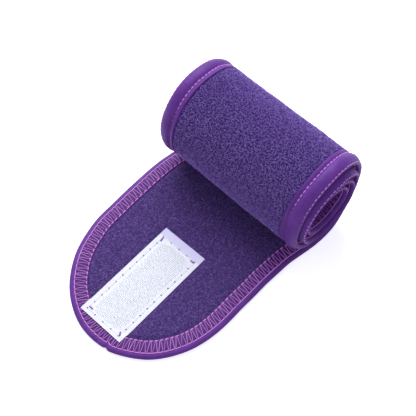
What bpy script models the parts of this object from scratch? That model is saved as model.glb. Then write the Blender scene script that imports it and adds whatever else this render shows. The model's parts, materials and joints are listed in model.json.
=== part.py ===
"""A towelling spa headband, rolled up with its fastening end lying flat in front of the roll.

One strip of double-faced towelling with a folded tape bound round its edge, and a hook tape patch sewn on
the flat end. The strip bends anywhere, so it is divided into short lengths, each on a hinge across the band:
three hinged lengths let the flat end fold up against the roll, and a chain of them lets the roll open out.

Metres, +Z up. The origin is on the table under the roll, on the flat underside of the length that the roll
stands on. +X runs along the band from the flat end to the roll, and +Y is the band's left edge.
A place on the band is given by s, the distance along it from the tip of the flat end, by y across it, and by
h, the height above its middle surface: h is positive on the brushed face, which is inside the roll.
"""

import bisect
import math

import bmesh
import bpy
from mathutils import Matrix, Vector

MM = 0.001

# The band
BAND_WIDTH = 85 * MM
BAND_THICKNESS = 2.0 * MM
END_TAPER = 50 * MM  # both ends are half ellipses of this length
FLAT_LENGTH = 110 * MM  # from the tip to where the roll starts to rise
ROLL_START_X = 2 * MM
GAP = 0.3 * MM

# The roll: an ellipse that closes in by one pitch each turn
ROLL_HALF_LENGTH = 25 * MM
ROLL_HALF_HEIGHT = 27.5 * MM
PITCH_X = 3.8 * MM
PITCH_Z = 5.1 * MM
ROLL_TURNS = 4.3
TABLE_STEPS = 4300

# The band turns a little to the right just before the roll, and the turns don't lie quite edge on edge
YAW = math.radians(3.8)
YAW_START_X = -54 * MM
YAW_END_X = -22 * MM
DRIFTS = (  # (turn, how far the band's centre line lies off the roll's middle there)
    (0, -2.7 * MM),
    (0.25, -0.5 * MM),
    (0.5, -1.7 * MM),
    (1.15, -2.0 * MM),
    (1.5, -4.2 * MM),
    (2.0, -3.7 * MM),
    (3.0, -2.6 * MM),
    (4.0, -2.0 * MM),
)

# Binding tape, folded over the edge
TAPE_THICKNESS = 0.4 * MM
TAPE_OUTSIDE = 9 * MM
TAPE_INSIDE = 8 * MM
TAPE_BEND = 1.0 * MM  # from the edge to where the fold starts to curve
SELVAGE_HALF = 0.3 * MM  # the towelling is pressed this thin inside the tape
SELVAGE_INSET = 0.9 * MM
TIP_STEPS = 24  # round the rounded end

# Hinges
FOLD_CUTS = (64 * MM, 71.4 * MM, 78.7 * MM, 86 * MM)  # distances along the band
ROLL_RIPPLE = 2.4 * MM  # how far a length's own curve stands off the table when the band is open
MOST_TURN = math.radians(70)
HINGE_STEP = 0.1 * MM
SEPARATE_TURNS = 9  # the outer lengths of the roll, whose towelling and tapes are separate pieces
SPANS = 4
END_SPAN = 0.25 * MM

# Hook tape patch
PATCH_LENGTH = 56.3 * MM
PATCH_WIDTH = 25 * MM
PATCH_X = -74 * MM
PATCH_Y = 1.7 * MM
PATCH_TURN = math.radians(-2.3)
PATCH_BASE = 0.4 * MM
HOOK_FIELD = (50 * MM, 17 * MM)
HOOK_HEIGHT = 0.8 * MM
STITCH_INSET = 2.0 * MM
THREAD_RADIUS = 0.2 * MM

TIP_X = ROLL_START_X - FLAT_LENGTH
ROLL_CENTRE_Z = ROLL_HALF_HEIGHT + BAND_THICKNESS / 2


def clear_scene():
    for obj in list(bpy.data.objects):
        bpy.data.objects.remove(obj, do_unlink=True)


def fabric(name, colour, roughness):
    """A cloth material of that linear colour."""
    made = bpy.data.materials.new(name)
    made.use_nodes = True
    shader = made.node_tree.nodes["Principled BSDF"]
    shader.inputs["Base Color"].default_value = (*colour, 1)
    shader.inputs["Roughness"].default_value = roughness
    shader.inputs["Metallic"].default_value = 0
    return made


# The band's path. (x, z) below are in the roll's own upright plane, before the yaw.


def smoothstep(share):
    share = min(1, max(0, share))
    return share * share * (3 - 2 * share)


def spiral(turn):
    """The middle surface after that many turns: (x, z, slope angle counted up through the turns)."""
    angle = math.tau * turn - math.pi / 2
    a = ROLL_HALF_LENGTH - PITCH_X * turn
    b = ROLL_HALF_HEIGHT - PITCH_Z * turn
    across = -PITCH_X * math.cos(angle) - a * math.tau * math.sin(angle)
    up = -PITCH_Z * math.sin(angle) + b * math.tau * math.cos(angle)
    slope = math.atan2(up, across)
    slope += math.tau * round((math.tau * turn - slope) / math.tau)
    return ROLL_START_X + a * math.cos(angle), ROLL_CENTRE_Z + b * math.sin(angle), slope


def spiral_table():
    """Distances along the band at evenly spaced turns."""
    distances = [FLAT_LENGTH]
    before = spiral(0)
    for step in range(1, TABLE_STEPS + 1):
        here = spiral(ROLL_TURNS * step / TABLE_STEPS)
        distances.append(distances[-1] + math.hypot(here[0] - before[0], here[1] - before[1]))
        before = here
    return distances


DISTANCES = spiral_table()
BAND_LENGTH = DISTANCES[-1]


def turn_at(s):
    """How many turns the roll has made at s."""
    after = min(max(bisect.bisect_left(DISTANCES, s), 1), TABLE_STEPS)
    share = (s - DISTANCES[after - 1]) / (DISTANCES[after] - DISTANCES[after - 1])
    return max(0, (after - 1 + share) * ROLL_TURNS / TABLE_STEPS)


def path(s):
    """(x, z, slope angle) of the middle surface at s."""
    if s <= FLAT_LENGTH:
        return TIP_X + s, BAND_THICKNESS / 2, 0
    return spiral(turn_at(s))


def half_width(s):
    """Half the band's width: the two ends are half ellipses."""
    to_end = min(s, BAND_LENGTH - s)
    if to_end >= END_TAPER:
        return BAND_WIDTH / 2
    return BAND_WIDTH / 2 * math.sqrt(1 - (1 - to_end / END_TAPER) ** 2)


def drift(s):
    """How far the band's centre line lies off the roll's middle: none at the folds, then as DRIFTS says."""
    if s <= FLAT_LENGTH:
        return DRIFTS[0][1] * smoothstep((s - FOLD_CUTS[-1]) / (FLAT_LENGTH - FOLD_CUTS[-1]))
    turn = turn_at(s)
    for (turn_1, drift_1), (turn_2, drift_2) in zip(DRIFTS, DRIFTS[1:]):
        if turn < turn_2:
            return drift_1 + (drift_2 - drift_1) * smoothstep((turn - turn_1) / (turn_2 - turn_1))
    return DRIFTS[-1][1]


def heading(x):
    """How far the band has turned to the right at x, in plan."""
    return YAW * smoothstep((x - YAW_START_X) / (YAW_END_X - YAW_START_X))


def in_plan(x, y):
    """Where a point of the straight band, x along it and y across, lies once the band has turned."""
    length = YAW_END_X - YAW_START_X
    share = min(1, max(0, (x - YAW_START_X) / length))
    turned = heading(x)
    beyond = max(0, x - YAW_END_X)
    centre_x = min(x, YAW_END_X) + beyond * math.cos(YAW)
    centre_y = -YAW * length * (share**3 - share**4 / 2) - beyond * math.sin(YAW)
    return centre_x + y * math.sin(turned), centre_y + y * math.cos(turned)


def on_band(s, y, h):
    """The world place of a point of the band."""
    x, z, slope = path(s)
    place_x, place_y = in_plan(x - h * math.sin(slope), y + drift(s))
    return Vector((place_x, place_y, z + h * math.cos(slope)))


# Hinges


def outer_point(s):
    """The terry face's place at s, in the roll's plane, and its slope."""
    x, z, slope = path(s)
    return x + BAND_THICKNESS / 2 * math.sin(slope), z - BAND_THICKNESS / 2 * math.cos(slope), slope


def roll_hinges():
    """Each hinge of the roll: (s, x, z, angle that straightens it).

    The lengths between hinges lie on tangents to the terry face, and a hinge is where two tangents cross,
    so when all are straight each length touches the table at one line and stands clear of it elsewhere.
    """
    hinges = []
    first = FLAT_LENGTH
    s = first
    while s < BAND_LENGTH:
        s += HINGE_STEP
        turned = path(s)[2] - path(first)[2]
        if (s - first) * turned / 8 < ROLL_RIPPLE and turned < MOST_TURN:
            continue
        x1, z1, slope1 = outer_point(first)
        x2, z2, slope2 = outer_point(s)
        reach = ((x2 - x1) * math.sin(slope2) - (z2 - z1) * math.cos(slope2)) / math.sin(turned)
        hinge_x = x1 + reach * math.cos(slope1)
        hinge_z = z1 + reach * math.sin(slope1)
        steps = [first + HINGE_STEP * step for step in range(int((s - first) / HINGE_STEP))]
        nearest = min(steps, key=lambda t: math.hypot(outer_point(t)[0] - hinge_x, outer_point(t)[1] - hinge_z))
        hinges.append((nearest, hinge_x, hinge_z, turned))
        first = s
    return hinges


def roll_place(x, y, z):
    """The world place of a point of the roll's plane, moved y along the roll's axis."""
    beyond = x - YAW_END_X
    start_x, start_y = in_plan(YAW_END_X, 0)
    return Vector((
        start_x + beyond * math.cos(YAW) + y * math.sin(YAW),
        start_y - beyond * math.sin(YAW) + y * math.cos(YAW),
        z,
    ))


def fold_place(s):
    """The world place of a fold hinge: on the brushed face, so that the band folds up."""
    x, y = in_plan(TIP_X + s, 0)
    return Vector((x, y, BAND_THICKNESS))


# Shapes


def object_of(name, mesh, material, collection):
    mesh.materials.clear()
    mesh.materials.append(material)
    obj = bpy.data.objects.new(name, mesh)
    collection.objects.link(obj)
    return obj


def sheet(name, stations, profile, place, thickness, material, collection, thin=()):
    """A surface through place(station, point) for each station and profile point, made solid by Solidify.

    The profile points whose numbers are in thin are pressed to the selvage's thickness.
    """
    mesh = bpy.data.meshes.new(name)
    grid = bmesh.new()
    last_station = len(stations) - 1
    last_point = len(profile) - 1
    bmesh.ops.create_grid(grid, x_segments=last_station, y_segments=last_point, size=1)
    numbers = []
    for vertex in grid.verts:
        station = round((vertex.co.x + 1) / 2 * last_station)
        point = round((vertex.co.y + 1) / 2 * last_point)
        numbers.append(point)
        vertex.co = place(stations[station], profile[point])
    bmesh.ops.recalc_face_normals(grid, faces=grid.faces)
    grid.to_mesh(mesh)
    grid.free()
    obj = object_of(name, mesh, material, collection)
    solid = obj.modifiers.new("Thickness", "SOLIDIFY")
    solid.thickness = thickness
    solid.offset = 0
    solid.use_even_offset = True
    if thin:
        group = obj.vertex_groups.new(name="full")
        full = [index for index, point in enumerate(numbers) if point not in thin]
        group.add(full, 1, "REPLACE")
        solid.vertex_group = group.name
        solid.thickness_vertex_group = 2 * SELVAGE_HALF / thickness
    return obj


def stations_between(start, end):
    """Distances along a length, short of its neighbours by half a gap.

    The first and last spans are short, so that Solidify raises the end faces square to the band.
    """
    start += GAP / 2
    end -= GAP / 2
    first, last = start + END_SPAN, end - END_SPAN
    return [start] + [first + (last - first) * step / SPANS for step in range(SPANS + 1)] + [end]


def panel_profile():
    """Places across the towelling, as insets from each edge: (side, inset)."""
    insets = (SELVAGE_INSET, TAPE_OUTSIDE + GAP, TAPE_OUTSIDE + 2 * GAP)
    right = [(-1, inset) for inset in insets]
    left = [(1, inset) for inset in reversed(insets)]
    return right + left


def tape_profile():
    """The tape's middle line round the edge, as (inset, h), from the terry face to the brushed face."""
    reach = BAND_THICKNESS / 2 - TAPE_THICKNESS / 2
    fold = [
        (TAPE_BEND - reach * math.cos(angle), reach * math.sin(angle))
        for angle in (math.radians(step) for step in (-90, -45, 0, 45, 90))
    ]
    return [(TAPE_OUTSIDE, -reach)] + fold + [(TAPE_INSIDE, reach)]


def panel(name, start, end, material, collection):
    """A length of towelling, thin along both edges where the tape grips it."""

    def place(s, point):
        side, inset = point
        return on_band(s, side * (half_width(s) - inset), 0)

    profile = panel_profile()
    thin = (0, 1, len(profile) - 2, len(profile) - 1)
    return sheet(name, stations_between(start, end), profile, place, BAND_THICKNESS, material, collection, thin)


def tape(name, start, end, side, material, collection):
    """A length of binding tape on one edge: side is 1 for the left one and -1 for the right."""

    def place(s, point):
        inset, h = point
        return on_band(s, side * (half_width(s) - inset), h)

    return sheet(name, stations_between(start, end), tape_profile(), place, TAPE_THICKNESS, material, collection)


def bound_length(name, start, end, material, collection):
    """A length of the inner turns, its towelling and its tapes as one solid."""

    def place(s, side):
        return on_band(s, side * half_width(s), 0)

    end = min(end, BAND_LENGTH - GAP)
    return sheet(name, stations_between(start, end), (-1, 1), place, BAND_THICKNESS, material, collection)


def tip_stations(end):
    """Places round the rounded end: ("side", s) on the straight edges and ("round", angle) on the ellipse."""
    straight = [END_TAPER + (end - END_TAPER) * share for share in (1, 0.5)]
    rounds = [math.radians(90 + 180 * step / TIP_STEPS) for step in range(TIP_STEPS + 1)]
    left = [(1, s) for s in straight]
    middle = [(0, angle) for angle in rounds]
    right = [(-1, s) for s in reversed(straight)]
    return left + middle + right


def tip_point(station, inset):
    """(s, y) of a point that far in from the rounded end's edge."""
    side, value = station
    if side:
        return value, side * (BAND_WIDTH / 2 - inset)
    out = Vector((math.cos(value) / END_TAPER, math.sin(value) / (BAND_WIDTH / 2))).normalized()
    s = END_TAPER * (1 + math.cos(value)) - inset * out.x
    y = BAND_WIDTH / 2 * math.sin(value) - inset * out.y
    return s, y


def flat_outline(name, end, inset, half_thickness, collection):
    """The rounded end's outline as a filled 2D curve, made a welded mesh."""
    curve = bpy.data.curves.new(name, "CURVE")
    curve.dimensions = "2D"
    curve.fill_mode = "BOTH"
    curve.extrude = half_thickness
    stations = tip_stations(end)
    line = curve.splines.new("POLY")
    line.points.add(len(stations) - 1)
    line.use_cyclic_u = True
    for point, station in zip(line.points, stations):
        place = on_band(*tip_point(station, inset), 0)
        point.co = (place.x, place.y, 0, 1)
    drawn = bpy.data.objects.new(name, curve)
    drawn.location.z = BAND_THICKNESS / 2
    collection.objects.link(drawn)
    return mesh_from_curve(drawn)


def mesh_from_curve(drawn):
    """The curve's evaluated shape as a mesh in world space, with its caps welded. The curve is removed."""
    bpy.context.view_layer.update()
    graph = bpy.context.evaluated_depsgraph_get()
    mesh = bpy.data.meshes.new_from_object(drawn.evaluated_get(graph))
    mesh.transform(drawn.matrix_world)
    bpy.data.objects.remove(drawn, do_unlink=True)
    weld = bmesh.new()
    weld.from_mesh(mesh)
    bmesh.ops.remove_doubles(weld, verts=weld.verts, dist=0.001 * MM)
    bmesh.ops.recalc_face_normals(weld, faces=weld.faces)
    weld.to_mesh(mesh)
    weld.free()
    return mesh


def joined(obj, other_mesh, cutters):
    """Adds another mesh to the object with a Boolean union."""
    other = bpy.data.objects.new(obj.name + "_core", other_mesh)
    other.hide_render = True
    other.display_type = "WIRE"
    cutters.objects.link(other)
    union = obj.modifiers.new("Union", "BOOLEAN")
    union.operation = "UNION"
    union.object = other
    return obj


def towel_tip(material, collection, cutters):
    """The rounded end's towelling: a full-thickness middle on a thin selvage that reaches into the tape."""
    end = FOLD_CUTS[0] - GAP / 2
    selvage = flat_outline("selvage", end, SELVAGE_INSET, SELVAGE_HALF, collection)
    middle = flat_outline("middle", end, TAPE_OUTSIDE + GAP, BAND_THICKNESS / 2, cutters)
    return joined(object_of("towel_tip", selvage, material, collection), middle, cutters)


def binding_tip(material, collection):
    """The tape round the rounded end, in one piece from edge to edge."""

    def place(station, point):
        inset, h = point
        s, y = tip_point(station, inset)
        return on_band(s, y, h)

    stations = tip_stations(FOLD_CUTS[0] - GAP / 2)
    return sheet("binding_tip", stations, tape_profile(), place, TAPE_THICKNESS, material, collection)


def patch_matrix(z):
    return Matrix.Translation((PATCH_X, PATCH_Y, z)) @ Matrix.Rotation(PATCH_TURN, 4, "Z")


def block(name, size, z):
    """The mesh of a box of that size, laid where the patch is with its underside at z."""
    mesh = bpy.data.meshes.new(name)
    box = bmesh.new()
    bmesh.ops.create_cube(box, size=1)
    bmesh.ops.transform(box, matrix=Matrix.Diagonal((*size, 1)), verts=box.verts)
    bmesh.ops.transform(box, matrix=patch_matrix(z + size[2] / 2), verts=box.verts)
    box.to_mesh(mesh)
    box.free()
    return mesh


def hook_patch(material, collection, cutters):
    """The hook tape: a flat woven base with the field of hooks raised on it."""
    under = BAND_THICKNESS + GAP
    woven = block("woven_base", (PATCH_LENGTH, PATCH_WIDTH, PATCH_BASE), under)
    hooks = block("hook_field", (*HOOK_FIELD, PATCH_BASE / 2 + HOOK_HEIGHT), under + PATCH_BASE / 2)
    return joined(object_of("hook_patch", woven, material, collection), hooks, cutters)


def patch_stitching(material, collection):
    """The seam that holds the patch: one thread line round it, just inside its edge."""
    curve = bpy.data.curves.new("patch_stitching", "CURVE")
    curve.dimensions = "3D"
    curve.bevel_depth = THREAD_RADIUS
    curve.bevel_resolution = 1
    half_x = PATCH_LENGTH / 2 - STITCH_INSET
    half_y = PATCH_WIDTH / 2 - STITCH_INSET
    z = BAND_THICKNESS + GAP + PATCH_BASE + GAP + THREAD_RADIUS
    line = curve.splines.new("POLY")
    line.points.add(3)
    line.use_cyclic_u = True
    for point, (x, y) in zip(line.points, ((1, 1), (-1, 1), (-1, -1), (1, -1))):
        point.co = (x * half_x, y * half_y, 0, 1)
    drawn = bpy.data.objects.new("patch_stitching_line", curve)
    drawn.matrix_world = patch_matrix(z)
    collection.objects.link(drawn)
    return object_of("patch_stitching", mesh_from_curve(drawn), material, collection)


# Assembly


def hung_on(pieces, name, place, parent, collection):
    """Parents the pieces to an empty on their hinge's axis, and the empty to the length before."""
    empty = bpy.data.objects.new(name, None)
    collection.objects.link(empty)
    empty.empty_display_size = 5 * MM
    empty.parent = parent
    empty.location = place - (parent.matrix_world.translation if parent else Vector((0, 0, 0)))
    bpy.context.view_layer.update()
    for piece in pieces:
        piece.data.transform(Matrix.Translation(-place))
        piece.parent = empty
    return empty


def bound_pieces(label, start, end, materials, collection):
    """The three pieces of a length: its towelling and the tape on each edge."""
    return [
        panel(f"towel_{label}", start, end, materials["towel"], collection),
        tape(f"binding_left_{label}", start, end, 1, materials["binding"], collection),
        tape(f"binding_right_{label}", start, end, -1, materials["binding"], collection),
    ]


def main():
    clear_scene()
    collection = bpy.data.collections.new("spa_headband")
    cutters = bpy.data.collections.new("cutters")
    bpy.context.scene.collection.children.link(collection)
    bpy.context.scene.collection.children.link(cutters)
    materials = {
        "towel": fabric("towel", (0.102, 0.053, 0.262), 0.95),
        "binding": fabric("binding", (0.195, 0.060, 0.407), 0.6),
        "hook_tape": fabric("hook_tape", (0.86, 0.86, 0.94), 0.5),
        "thread": fabric("thread", (0.80, 0.78, 0.90), 0.5),
    }
    hinges = roll_hinges()

    base = bound_pieces("base", FOLD_CUTS[-1], hinges[0][0], materials, collection)
    root = hung_on(base, "base", Vector((0, 0, 0)), None, collection)

    parent = root
    for number in (3, 2, 1):
        start, end = FOLD_CUTS[number - 1], FOLD_CUTS[number]
        pieces = bound_pieces(f"fold_{number}", start, end, materials, collection)
        parent = hung_on(pieces, f"fold_{number}", fold_place(end), parent, collection)
    tip = [
        towel_tip(materials["towel"], collection, cutters),
        binding_tip(materials["binding"], collection),
        hook_patch(materials["hook_tape"], collection, cutters),
        patch_stitching(materials["thread"], collection),
    ]
    tip_hinge = hung_on(tip, "tip", fold_place(FOLD_CUTS[0]), parent, collection)
    for cutter in cutters.objects:
        cutter.data.transform(Matrix.Translation(-fold_place(FOLD_CUTS[0])))
        cutter.parent = tip_hinge

    parent = root
    ends = [hinge[0] for hinge in hinges[1:]] + [BAND_LENGTH]
    for number, (hinge, end) in enumerate(zip(hinges, ends), start=1):
        start, x, z, _ = hinge
        label = f"turn_{number:02d}"
        if number <= SEPARATE_TURNS:
            pieces = bound_pieces(label, start, end, materials, collection)
        else:
            pieces = [bound_length(f"inner_{label}", start, end, materials["towel"], collection)]
        parent = hung_on(pieces, label, roll_place(x, 0, z), parent, collection)


main()
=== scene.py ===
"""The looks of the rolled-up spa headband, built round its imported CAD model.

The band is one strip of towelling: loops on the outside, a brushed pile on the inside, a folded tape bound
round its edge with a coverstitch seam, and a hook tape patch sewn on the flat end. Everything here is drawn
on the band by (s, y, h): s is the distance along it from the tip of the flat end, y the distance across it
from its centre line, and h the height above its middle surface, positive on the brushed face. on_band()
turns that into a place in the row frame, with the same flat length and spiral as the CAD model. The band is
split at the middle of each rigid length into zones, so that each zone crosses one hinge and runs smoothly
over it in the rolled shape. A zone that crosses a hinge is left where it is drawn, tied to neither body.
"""

import json
import math

import bpy
import numpy as np
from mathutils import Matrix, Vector

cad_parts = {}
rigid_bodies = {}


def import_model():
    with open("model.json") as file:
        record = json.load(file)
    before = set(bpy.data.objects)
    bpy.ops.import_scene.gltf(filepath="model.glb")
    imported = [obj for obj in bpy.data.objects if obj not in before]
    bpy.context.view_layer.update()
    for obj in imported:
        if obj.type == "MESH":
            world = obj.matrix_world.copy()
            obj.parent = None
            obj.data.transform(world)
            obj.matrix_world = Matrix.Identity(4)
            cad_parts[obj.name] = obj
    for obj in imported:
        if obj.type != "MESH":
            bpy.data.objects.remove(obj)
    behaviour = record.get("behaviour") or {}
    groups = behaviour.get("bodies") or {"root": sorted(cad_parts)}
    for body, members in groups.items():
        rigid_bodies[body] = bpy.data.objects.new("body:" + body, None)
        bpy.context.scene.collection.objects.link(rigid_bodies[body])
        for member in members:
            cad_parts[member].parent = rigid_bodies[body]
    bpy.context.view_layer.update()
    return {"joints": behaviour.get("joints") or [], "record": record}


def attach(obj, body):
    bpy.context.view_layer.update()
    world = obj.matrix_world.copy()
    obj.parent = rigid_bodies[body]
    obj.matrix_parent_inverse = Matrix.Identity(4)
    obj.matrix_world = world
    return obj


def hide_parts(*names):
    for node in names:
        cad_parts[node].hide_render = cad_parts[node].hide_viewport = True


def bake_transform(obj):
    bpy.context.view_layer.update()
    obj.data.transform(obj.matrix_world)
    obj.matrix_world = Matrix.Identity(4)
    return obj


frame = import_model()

MM = 0.001
SEED = 11

# The band, as in the CAD model
BAND_WIDTH = 85 * MM
BAND_THICKNESS = 2.0 * MM
END_TAPER = 50 * MM
FLAT_LENGTH = 110 * MM
ROLL_START_X = 2 * MM
ROLL_HALF_LENGTH = 25 * MM
ROLL_HALF_HEIGHT = 27.5 * MM
PITCH_X = 3.8 * MM
PITCH_Z = 5.1 * MM
ROLL_TURNS = 4.3
YAW = math.radians(3.8)
YAW_START_X = -54 * MM
YAW_END_X = -22 * MM
DRIFTS = (  # (turn, how far the band's centre line lies off the roll's middle there)
    (0, -2.7 * MM),
    (0.25, -0.5 * MM),
    (0.5, -1.7 * MM),
    (1.15, -2.0 * MM),
    (1.5, -4.2 * MM),
    (2.0, -3.7 * MM),
    (3.0, -2.6 * MM),
    (4.0, -2.0 * MM),
)
DRIFT_START = 86 * MM
HALF_WIDTH = BAND_WIDTH / 2
TIP_X = ROLL_START_X - FLAT_LENGTH
ROLL_CENTRE_Z = ROLL_HALF_HEIGHT + BAND_THICKNESS / 2

# Heights above the middle surface
TERRY_GROUND = -0.9 * MM
BRUSHED_FACE = 1.3 * MM
PRESSED_BY_TAPE = 0.5 * MM
PRESSED_BY_PATCH = 0.5 * MM
FLAT_RISE = 0.45 * MM  # the loops under the flat end hold it this much higher than the CAD solid
FLAT_PRESS = 0.76  # and are pressed to this share of their height
FLAT_DEEPEST = 1.38 * MM  # below the middle surface, where the flat end lies on the table
ROLLED_PRESS = 0.58  # the inner turns are pressed to this share of their thickness
ROLLED_PRESS_TURNS = (0.85, 1.15)  # and take on that thickness between these turns
FLAT_SWELL = 0.16 * MM
ROLL_SWELL = 0.22 * MM
LIFT_OFF = 10 * MM  # the distance over which the roll's first turn leaves the table

# The edge
TIP_STRETCH = 1.0 * MM  # the bound tip stands out from the CAD outline by this, over the length below
TIP_STRETCH_REACH = 45 * MM
NARROWEST = 45 * MM  # where the flat end's right edge is drawn in most
NARROWED = 1.7 * MM
NARROWED_REACH = (18 * MM, 32 * MM)  # towards the tip, and towards the roll
EDGE_WANDER = 0.13 * MM
LAP_FROM_TIP = 6.5 * MM  # where the tape's two ends meet, just right of the tip
LAP_STEP = 0.5 * MM  # the upper end stands out from there on by this, over the length below
LAP_STEP_REACH = 9 * MM
LAP_NICK = 0.8 * MM  # depth and half width
EDGE_STEPS = 400  # points along each straight edge, and each quarter of the ends' outlines

# Binding tape. Its skin is (inset, height), from the terry face round the fold to the brushed face.
TAPE_OUTSIDE = 9 * MM
TAPE_INSIDE = 8 * MM
NEEDLE_INSET = 6.6 * MM
EDGE_NEEDLE_INSET = 0.42 * MM
INSIDE_LINE_INSET = 2.5 * MM
TAPE_SKIN = (  # in millimetres
    (9.0, -0.9),
    (9.05, -1.45),
    (8.8, -1.75),
    (8.0, -1.75),
    (7.2, -1.5),
    (6.6, -1.1),
    (6.2, -1.4),
    (5.4, -1.95),
    (4.3, -2.2),
    (3.0, -2.1),
    (1.9, -1.75),
    (1.1, -1.35),
    (0.5, -0.9),
    (0.12, -0.4),
    (0.0, 0.0),
    (0.1, 0.45),
    (0.6, 0.95),
    (1.3, 1.25),
    (2.1, 1.25),
    (2.5, 1.1),
    (3.2, 1.3),
    (5.0, 1.4),
    (7.4, 1.3),
    (8.0, 1.1),
    (8.4, 1.2),
    (8.7, 1.0),
    (8.7, 0.7),
)
PUCKER = 0.06 * MM
WRINKLE = 0.07 * MM
STITCH = 2.15 * MM  # length of one coverstitch
LOOPER_STITCH = 2.8 * MM  # and of the stitches inside, where the stretched edge has relaxed
STITCH_SPAN = 0.6  # the share of a stitch's length over which its thread shows
STITCH_SINK = 0.1 * MM  # how far its ends go into the tape
LINE_HEIGHT = 1.28 * MM
LINE_RADIUS = 0.22 * MM
ZIGZAG_HEIGHT = 1.5 * MM
ZIGZAG_RADIUS = 0.19 * MM
ZIGZAG_TONE = 0.66
# Rows of separate stitches: length of one, inset, height, rise above that, thread radius, brightest tone
NEEDLE_ROW = (STITCH, NEEDLE_INSET, -1.2 * MM, -0.3 * MM, 0.25 * MM, 1.05)
EDGE_ROW = (STITCH, EDGE_NEEDLE_INSET, -0.75 * MM, -0.2 * MM, 0.2 * MM, 1.0)
INSIDE_ROW = (LOOPER_STITCH, TAPE_INSIDE, 1.2 * MM, 0.38 * MM, 0.27 * MM, 1.0)

# Pile: pairs are the smallest and the largest, in millimetres
TERRY_SWELL = 0.12 * MM
LOOP_WIDTH = (0.5, 0.95)
LOOP_HEIGHT = (0.6, 1.0)
LOOP_CURL = (-0.25, 0.25)
LOOP_RADIUS = (0.13, 0.17)
LOOP_ROOT = 0.12 * MM  # how deep a loop's ends are set in the ground
LOOP_PITCH_SEEN = 0.72 * MM
LOOP_PITCH_UNDERNEATH = 0.95 * MM
LOOP_PITCH_ROLLED_IN = 1.5 * MM
BRUSHED_GRAIN = 0.09 * MM
HAIR_REACH = (0.2, 0.6)
HAIR_RISE = (0.1, 0.3)
HAIR_ROOT = 0.05 * MM
HAIR_RADIUS = 0.13 * MM
HAIR_PITCH_FLAT = 0.66 * MM
HAIR_PITCH_ROLLED_IN = 1.8 * MM
TERRY_GRID = 1.1 * MM
BRUSHED_GRID_FLAT = 0.5 * MM
BRUSHED_GRID_ROLLED_IN = 1.1 * MM

# Hook tape patch
PATCH_LENGTH = 56.3 * MM
PATCH_WIDTH = 25 * MM
PATCH_X = -74 * MM
PATCH_Y = 1.7 * MM
PATCH_TURN = math.radians(-2.3)
PATCH_UNDER = 2.3 * MM
PATCH_TOP = 2.7 * MM
FIELD_FROM = -25.5 * MM  # the field of hooks, along the patch
FIELD_TO = 22.6 * MM
FIELD_HALF = 8.9 * MM
FIELD_CORNER = 4.5 * MM
SEAM_FROM = -26.2 * MM
SEAM_TO = 23.7 * MM
SEAM_HALF = 10.1 * MM
SEAM_STITCH = 4.6 * MM
SEAM_RADIUS = 0.09 * MM
HOOK_PITCH = (0.95 * MM, 0.85 * MM)
HOOK_SHIFT = (-0.16, 0.16)  # in millimetres
HOOK_BEND = (0, 0.01, 0.05, 0.2, 0.38, 0.43)  # a hook from root to point, in millimetres
HOOK_LIFT = (-0.1, 0.25, 0.55, 0.74, 0.66, 0.42)
HOOK_RADIUS = 0.09 * MM
SPECK_REACH = 0.33 * MM
SPECK_RADIUS = 0.21 * MM
TACK_REACH = 1.1 * MM
TACK_RADIUS = 0.15 * MM
TACK_BARS = (  # (x, y, quarter turns)
    (SEAM_TO - 1.6 * MM, SEAM_HALF - 0.4 * MM, 0.15),
    (SEAM_TO - 0.6 * MM, -SEAM_HALF + MM, 1.0),
    (SEAM_FROM + 1.2 * MM, SEAM_HALF - 1.2 * MM, 1.0),
    (SEAM_FROM + 1.2 * MM, -SEAM_HALF + 0.4 * MM, 0.4),
)

# Camera and lights
CAMERA_PLACE = (-0.1827, -0.1282, 0.3603)
CAMERA_AIM = (-0.02295, 0.00579, 0)
CAMERA_LENS = 73.56
LIGHT_AIM = (-0.03, 0, 0.01)
FLOOR_HALF = 6


# Numbers that vary smoothly along one or two directions


def smoothstep(share):
    share = np.clip(share, 0, 1)
    return share * share * (3 - 2 * share)


def waves(seed, lengths):
    """A smooth wandering function of distance, about -1 to 1, made of one wave of each length."""
    rng = np.random.default_rng([SEED, seed])
    phases = rng.uniform(0, math.tau, len(lengths))

    def value(distance):
        total = 0
        for length, phase in zip(lengths, phases):
            total = total + np.sin(math.tau * distance / length + phase)
        return total / len(lengths) * 1.4

    return value


def ripples(seed, lengths):
    """The same over a surface: each wave runs in its own direction."""
    rng = np.random.default_rng([SEED, seed])
    phases = rng.uniform(0, math.tau, len(lengths))
    headings = rng.uniform(0, math.pi, len(lengths))

    def value(s, y):
        total = 0
        for length, phase, heading in zip(lengths, phases, headings):
            along = s * math.cos(heading) + y * math.sin(heading)
            total = total + np.sin(math.tau * along / length + phase)
        return total / len(lengths) * 1.4

    return value


edge_wander = waves(1, [43 * MM, 31 * MM, 19 * MM, 27 * MM])
soft_swell = ripples(2, [47 * MM, 31 * MM, 23 * MM, 38 * MM])
pile_swell = ripples(3, [9 * MM, 6.1 * MM, 7.3 * MM, 4.4 * MM, 5.2 * MM])
fine_grain = ripples(4, [2.9 * MM, 2.1 * MM, 1.7 * MM, 2.5 * MM, 1.9 * MM, 2.3 * MM])


# The band's path


def spiral(turn):
    """The middle surface after that many turns, in the roll's plane: (x, z) and its direction."""
    angle = math.tau * turn - math.pi / 2
    a = ROLL_HALF_LENGTH - PITCH_X * turn
    b = ROLL_HALF_HEIGHT - PITCH_Z * turn
    x = ROLL_START_X + a * np.cos(angle)
    z = ROLL_CENTRE_Z + b * np.sin(angle)
    along_x = -PITCH_X * np.cos(angle) - a * math.tau * np.sin(angle)
    along_z = -PITCH_Z * np.sin(angle) + b * math.tau * np.cos(angle)
    length = np.hypot(along_x, along_z)
    return x, z, along_x / length, along_z / length


TURNS = np.linspace(0, ROLL_TURNS, 4301)
DISTANCES = FLAT_LENGTH + np.concatenate(
    [[0], np.cumsum(np.hypot(np.diff(spiral(TURNS)[0]), np.diff(spiral(TURNS)[1])))]
)
BAND_LENGTH = DISTANCES[-1]


def turn_at(s):
    return np.interp(s, DISTANCES, TURNS)


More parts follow.
